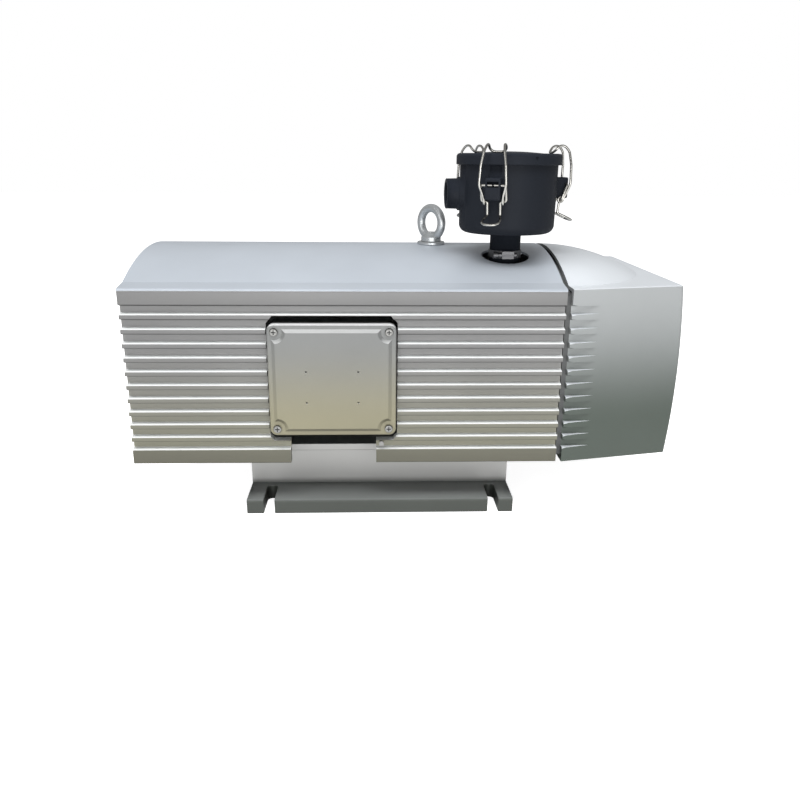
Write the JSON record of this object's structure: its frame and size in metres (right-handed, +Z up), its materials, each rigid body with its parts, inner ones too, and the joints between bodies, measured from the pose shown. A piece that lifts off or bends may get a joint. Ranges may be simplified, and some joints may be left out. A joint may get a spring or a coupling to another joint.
{
  "type": "dry rotary vane vacuum pump",
  "caption": "Direct-driven dry rotary vane vacuum pump in a ribbed sound casing with end hood, foot base, terminal box, lifting eye and clipped suction filter.",
  "frame": {"origin": "centre of the bounding box at floor level", "axes": "+X along the shaft toward the hood end, -Y toward the terminal box side, +Z up"},
  "size_m": [0.734, 0.3964, 0.4848],
  "materials": {
    "paint_silver": "silver metallic paint, fine grain",
    "paint_cover": "silver metallic paint, bluish",
    "paint_hood": "silver metallic paint",
    "paint_grey": "grey paint, semi gloss",
    "lamination": "stacked sheets",
    "copper_coil": "varnished winding",
    "bearing_steel": "polished",
    "shaft_steel": "turned",
    "cast_metal": "machined casting",
    "black_plastic": "matte",
    "filter_plastic": "satin moulded plastic",
    "elastomer": "matte",
    "filter_paper": "pleated paper",
    "wire_steel": "bright drawn wire",
    "screw_steel": "zinc plated",
    "eye_steel": "satin silver",
    "graphite": "pressed graphite"
  },
  "bodies": {
    "pump": {"base_frame": "paint_grey", "bearing_cover": "cast_metal", "bearing_outer_rings": "bearing_steel", "bell_housing": "paint_grey", "cable_gland": "black_plastic", "casing_screws": "screw_steel", "end_grille": "paint_grey", "end_hood": "paint_hood", "exhaust_flange": "cast_metal", "exhaust_silencer": "paint_grey", "eye_bolt": "eye_steel", "eye_washer": "eye_steel", "filter_canister": "filter_plastic", "filter_element": "filter_paper", "filter_lid": "filter_plastic", "hood_flange": "paint_grey", "hose_clamp": "wire_steel", "lid_gasket": "elastomer", "motor_housing": "paint_grey", "motor_shield_drive": "paint_grey", "motor_shield_fan": "paint_grey", "pump_cylinder": "cast_metal", "pump_end_plate_drive": "cast_metal", "pump_end_plate_free": "cast_metal", "side_panel_front": "paint_silver", "side_panel_rear": "paint_silver", "stator_core": "lamination", "stator_winding": "copper_coil", "suction_flange": "cast_metal", "suction_nipple": "wire_steel", "terminal_box": "paint_grey", "terminal_lid": "paint_silver", "terminal_screws": "screw_steel", "top_cover": "paint_cover"},
    "drive": {"motor_shaft": "shaft_steel", "motor_rotor_core": "lamination", "motor_fan": "black_plastic", "coupling_hub_motor": "cast_metal", "coupling_star": "elastomer", "coupling_hub_pump": "cast_metal", "cooling_fan": "black_plastic", "pump_shaft": "shaft_steel", "pump_rotor": "cast_metal", "bearing_inner_rings": "bearing_steel", "bearing_balls": "bearing_steel"},
    "check_valve": {"check_valve_disc": "elastomer", "check_valve_spring": "wire_steel"},
    "vane_1": {"vane_1": "graphite"},
    "vane_2": {"vane_2": "graphite"},
    "vane_3": {"vane_3": "graphite"},
    "vane_4": {"vane_4": "graphite"},
    "vane_5": {"vane_5": "graphite"},
    "vane_6": {"vane_6": "graphite"},
    "vane_7": {"vane_7": "graphite"},
    "clip_lever_1": {"clip_lever_1": "wire_steel"},
    "clip_bail_1": {"clip_bail_1": "wire_steel"},
    "clip_lever_2": {"clip_lever_2": "wire_steel"},
    "clip_bail_2": {"clip_bail_2": "wire_steel"},
    "clip_lever_3": {"clip_lever_3": "wire_steel"},
    "clip_bail_3": {"clip_bail_3": "wire_steel"}
  },
  "joints": [
    {"name": "drive_spin", "type": "hinge", "parent": "pump", "child": "drive", "pos_m": [0, 0, 0.205], "axis": [1, 0, 0], "continuous": true},
    {"name": "vane_slide_1", "type": "slide", "parent": "drive", "child": "vane_1", "axis": [0, 0, 1], "range_m": [-0.0093, 0]},
    {"name": "vane_slide_2", "type": "slide", "parent": "drive", "child": "vane_2", "axis": [0, 0.7818, -0.6235], "range_m": [0, 0.0033]},
    {"name": "vane_slide_3", "type": "slide", "parent": "drive", "child": "vane_3", "axis": [0, 0.9749, 0.2225], "range_m": [0, 0.0071]},
    {"name": "vane_slide_4", "type": "slide", "parent": "drive", "child": "vane_4", "axis": [0, 0.4339, 0.901], "range_m": [0, 0.0008]},
    {"name": "vane_slide_5", "type": "slide", "parent": "drive", "child": "vane_5", "axis": [0, -0.4339, 0.901], "range_m": [0, 0.0008]},
    {"name": "vane_slide_6", "type": "slide", "parent": "drive", "child": "vane_6", "axis": [0, -0.9749, 0.2225], "range_m": [0, 0.0071]},
    {"name": "vane_slide_7", "type": "slide", "parent": "drive", "child": "vane_7", "axis": [0, 0.7818, 0.6235], "range_m": [-0.0158, 0]},
    {"name": "check_valve_lift", "type": "slide", "parent": "pump", "child": "check_valve", "axis": [0, 0, -1], "range_m": [0, 0.006], "stiffness_N_per_m": 200, "springref_m": -0.004},
    {"name": "clip_lever_turn_1", "type": "hinge", "parent": "pump", "child": "clip_lever_1", "pos_m": [0.1054, -0.14903, 0.4335], "axis": [-0.9171, 0.3987, 0], "range_deg": [0, 120]},
    {"name": "clip_bail_turn_1", "type": "hinge", "parent": "clip_lever_1", "child": "clip_bail_1", "pos_m": [0.10819, -0.14261, 0.4135], "axis": [-0.9171, 0.3987, 0], "range_deg": [-180, 0]},
    {"name": "clip_lever_turn_2", "type": "hinge", "parent": "pump", "child": "clip_lever_2", "pos_m": [0.214, -0.06867, 0.4335], "axis": [0.1132, -0.9936, 0], "range_deg": [0, 120]},
    {"name": "clip_bail_turn_2", "type": "hinge", "parent": "clip_lever_2", "child": "clip_bail_2", "pos_m": [0.20704, -0.06946, 0.4135], "axis": [0.1132, -0.9936, 0], "range_deg": [-180, 0]},
    {"name": "clip_lever_turn_3", "type": "hinge", "parent": "pump", "child": "clip_lever_3", "pos_m": [0.0901, -0.0148, 0.4335], "axis": [0.8039, 0.5948, 0], "range_deg": [0, 120]},
    {"name": "clip_bail_turn_3", "type": "hinge", "parent": "clip_lever_3", "child": "clip_bail_3", "pos_m": [0.09427, -0.02043, 0.4135], "axis": [0.8039, 0.5948, 0], "range_deg": [-180, 0]}
  ],
  "couplings": [
    {"joint": "clip_bail_turn_1", "follows": "clip_lever_turn_1", "ratio": -1.5},
    {"joint": "clip_bail_turn_2", "follows": "clip_lever_turn_2", "ratio": -1.5},
    {"joint": "clip_bail_turn_3", "follows": "clip_lever_turn_3", "ratio": -1.5}
  ]
}
